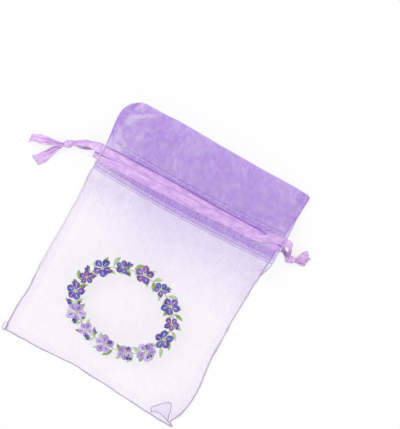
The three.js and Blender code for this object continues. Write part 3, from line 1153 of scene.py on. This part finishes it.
def run_levels(side):
    """Heights of a ribbon's front and back runs."""
    low, high = box_mm(f"{side}_ribbon")
    lap = SIDES[side] * LAP
    return high[2] - RIBBON / 2 + lap, low[2] + RIBBON / 2 + BACK_RISE - lap


def add_ribbon(side):
    """The ribbon inside the casing: front run, turn and back run."""
    sign = SIDES[side]
    front, back = run_levels(side)
    level = (front + back) / 2
    radius = (front - back) / 2
    straight = np.concatenate([[-EDGE - OPEN_END], spread(-EDGE, EDGE)])
    turn = np.linspace(np.pi / 2, -np.pi / 2, 24)
    x = np.concatenate([straight, EDGE + TURN_REACH[side] * np.cos(turn[1:-1]), straight[::-1]])
    z = np.concatenate([
        np.full_like(straight, front), level + radius * np.sin(turn[1:-1]), np.full_like(straight, back),
    ])
    inside = smooth(EDGE + OPEN_END + x, 0, 10)
    turning = smooth(x, EDGE - END_EASE, EDGE - 1)
    stray = 0.25 * inside * noise(x / 9, z / 3, 101 + sign)
    lane = np.where(z > level, run_lane(side, "front", -sign * x), run_lane(side, "back", -sign * x))
    y = mix(lane + stray, TURN_LANE[side], turning)
    line = points_at(x, y, z)
    tangents = unit(np.gradient(line, axis=0) * [1, 0, 1])
    asides = np.tile([0, 1.0, 0], (len(line), 1))
    ups = np.cross(tangents, asides)
    widths = mix(RIBBON_WIDTH + 0.2 * inside * (1 + noise(x / 6, z, 105 + sign)), TURN_WIDTH, turning)
    crumple = 0.03 * inside + 0.15 * smooth(x, EDGE - 4, EDGE)
    points, faces, uvs = band(line, -asides, ups, widths, crumple, 111 + sign)
    if sign > 0:
        points = points * [-1, 1, 1]
        faces = [face[::-1] for face in faces]
    piece = satin_piece(f"{side}_casing_ribbon", (points, faces, uvs), f"{side}_ribbon")
    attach(piece, f"{side}_drawstring")


def pull_frame(side):
    """The knot's middle, the direction that its drawstring is pulled in and the place of the pull's hinge."""
    low, high = box_mm(f"{side}_knot")
    joint = next(j for j in frame["joints"] if j["name"] == f"{side}_pull_lift")
    axis = joint["axis"]
    outwards = np.array([-axis[1], axis[0], 0])
    return (low + high) / 2 - outwards * PULLS[side]["set_back"], outwards, np.array(joint["pos_m"]) / MM


def add_strands(side):
    sign = SIDES[side]
    pull = PULLS[side]
    knot, outwards, hinge = pull_frame(side)
    exit_x = sign * (EDGE + OPEN_END - JOIN)
    for layer, level, pitch in zip(("front", "back"), run_levels(side), (KNOT_PITCH, -KNOT_PITCH)):
        start = np.array([exit_x, run_lane(side, layer, exit_x)])
        end = knot - outwards * KNOT_FACE + UP * pitch
        way = np.array([[0, 0], *pull[layer]])
        flat = through([*(start + way), end[:2]], STRAND_STEPS // len(way))
        share = path_lengths(flat) / path_lengths(flat)[-1]
        line = np.column_stack([flat, mix(level, end[2], smooth(share, 0.05, 0.95))])
        angles = STRAND_TWIST[layer] * smooth(share, 0, 0.35) * noise(2.4 * share, 0.5, 131 + sign)
        asides, ups = twisted(*upright_frames(line), angles)
        widths = mix(RIBBON_WIDTH, TIED_WIDTH, smooth(share, *pull["narrows"]))
        crumple = 0.5 * smooth(share, 0.05, 0.9)
        shape = band(line, asides, ups, widths, crumple, STRAND_SEED[layer] + sign)
        piece = satin_piece(f"{side}_{layer}_ribbon_strand", shape, f"{side}_{layer}_strand")
        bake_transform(piece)


def add_knot(side):
    """An overhand knot: two turns of ribbon crossing over the bundle that they hold."""
    knot, outwards, _ = pull_frame(side)
    axes = np.stack([outwards, np.cross(UP, outwards), UP])
    along = np.linspace(-KNOT_LENGTH / 2, KNOT_LENGTH / 2, 12)
    parts = [tube(knot + points_at(along, 0, 0) @ axes, 1.05 + 0.12 * np.abs(along), 12)]
    for tilt, start, radius in KNOT_TURNS:
        angle = np.linspace(start, start + 2.35 * np.pi, 44)
        share = np.linspace(-1, 1, len(angle))
        radial = points_at(0, np.cos(angle), np.sin(angle))
        swell = radius + 0.12 * np.sin(3 * angle + start) - 0.35 * smooth(np.abs(share), 0.75, 1)
        path = radial * swell[:, None]
        path[:, 0] = tilt * 1.15 * share + 0.25 * np.sin(2 * angle)
        widths = 0.85 - 0.2 * smooth(np.abs(share), 0.7, 1)
        parts.append(tube(knot + path @ axes, widths, 10, flat=0.42, up=radial @ axes))
    piece = satin_piece(f"{side}_ribbon_knot", join(parts), f"{side}_knot")
    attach(piece, f"{side}_pull")


def add_tails(side):
    knot, outwards, _ = pull_frame(side)
    aside = np.cross(UP, outwards)
    tail = PULLS[side]["tail"]
    for layer, pitch in (("upper", KNOT_PITCH), ("lower", -KNOT_PITCH)):
        swing, end_height = PULLS[side][layer]
        start = knot + outwards * KNOT_FACE + UP * pitch
        end = knot * [1, 1, 0] + outwards * (KNOT_FACE + tail) + aside * swing + UP * end_height
        line = bezier(start, start + outwards * tail / 3, end - outwards * tail / 3, end, 26)
        share = np.linspace(0, 1, len(line))
        seed = TAIL_SEED[layer] + SIDES[side]
        angles = TAIL_TWIST[layer] * noise(2.2 * share, 0.5, seed) * smooth(share, 0, 0.3)
        asides, ups = twisted(*upright_frames(line), angles)
        widths = mix(TIED_WIDTH, TAIL_WIDTH, smooth(share, 0, 1))
        crumple = mix(0.5, 0.42, smooth(share, 0.1, 1))
        shape = band(line, asides, ups, widths, crumple, seed, ragged=0.3, slant=1.1 * np.sign(swing))
        piece = satin_piece(f"{side}_{layer}_ribbon_tail", shape, f"{side}_{layer}_tail")
        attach(piece, f"{side}_pull")


for side in SIDES:
    add_ribbon(side)
    add_strands(side)
    add_knot(side)
    add_tails(side)


# Stage

FLOOR_REACH = 3  # in metres, as the lamps' places and sizes are
FLOOR_DROP = 0.0001
FLOOR_GLOW = 0.76


def empty_tree(owner):
    owner.use_nodes = True
    owner.node_tree.nodes.clear()
    return owner.node_tree


def add_floor():
    mesh = bpy.data.meshes.new("floor")
    corners = [(FLOOR_REACH * i, FLOOR_REACH * j, 0) for i, j in ((-1, -1), (1, -1), (1, 1), (-1, 1))]
    mesh.from_pydata(corners, [], [(0, 1, 2, 3)])
    floor = link("floor", mesh)
    floor.location.z = -FLOOR_DROP
    material = bpy.data.materials.new("floor_paper")
    tree = empty_tree(material)
    paper = node(tree, "BsdfDiffuse", {"Color": (0.97, 0.97, 0.97, 1)}).outputs[0]
    glow = node(tree, "Emission", {"Color": (1, 1, 1, 1), "Strength": 1.0}).outputs[0]
    share = times(tree, seen_rays(tree), FLOOR_GLOW)
    shader = node(tree, "MixShader", {"Fac": share, 1: paper, 2: glow}).outputs[0]
    node(tree, "OutputMaterial", {"Surface": shader})
    mesh.materials.append(material)


def seen_rays(tree):
    """1 for rays from the camera and for those that gloss and clear surfaces send on."""
    path = node(tree, "LightPath").outputs
    gloss = math_node(tree, "MAXIMUM", path["Is Glossy Ray"], path["Is Transmission Ray"])
    return math_node(tree, "MAXIMUM", path["Is Camera Ray"], gloss)


def add_world():
    world = bpy.data.worlds.new("studio")
    bpy.context.scene.world = world
    tree = empty_tree(world)
    fill = node(tree, "Background", {"Color": (1, 0.99, 1, 1), "Strength": 0.6}).outputs[0]
    white = node(tree, "Background", {"Color": (1, 1, 1, 1), "Strength": 1.0}).outputs[0]
    shader = node(tree, "MixShader", {"Fac": seen_rays(tree), 1: fill, 2: white}).outputs[0]
    node(tree, "OutputWorld", {"Surface": shader})


def add_lamp(name, place, size, power):
    lamp = bpy.data.lights.new(name, "AREA")
    lamp.shape = "DISK"
    lamp.size = size
    lamp.energy = power
    holder = link(name, lamp)
    holder.location = place
    holder.rotation_euler = (-Vector(place)).to_track_quat("-Z", "Y").to_euler()


CAMERA_LENS = 85
CAMERA_SENSOR = 36
CAMERA_DISTANCE = 454.7
CAMERA_AIM = (6.9, 28.7, 0)
CAMERA_TILT = math.radians(9.1)  # from straight above
CAMERA_AZIMUTH = math.radians(128.4)  # of the lean, from +X
CAMERA_ROLL = math.radians(-29.8)  # of the picture's upright, from +Y


def add_camera():
    back = Vector((
        math.sin(CAMERA_TILT) * math.cos(CAMERA_AZIMUTH),
        math.sin(CAMERA_TILT) * math.sin(CAMERA_AZIMUTH),
        math.cos(CAMERA_TILT),
    ))
    right = Vector((math.sin(CAMERA_ROLL), math.cos(CAMERA_ROLL), 0)).cross(back).normalized()
    up = back.cross(right)
    camera = bpy.data.cameras.new("camera")
    camera.lens = CAMERA_LENS
    camera.sensor_width = CAMERA_SENSOR
    camera.clip_start = 0.01
    holder = link("camera", camera)
    turn = Matrix((right, up, back)).transposed().to_4x4()
    holder.matrix_world = Matrix.Translation((Vector(CAMERA_AIM) + back * CAMERA_DISTANCE) * MM) @ turn
    bpy.context.scene.camera = holder


add_floor()
add_world()
add_lamp("key", (-0.5, 0.35, 0.7), 0.5, 3.6)
add_lamp("fill", (0.6, -0.3, 0.6), 0.7, 1.8)
add_camera()
scene = bpy.context.scene
scene.view_settings.view_transform = "Standard"
scene.cycles.transparent_max_bounces = 32
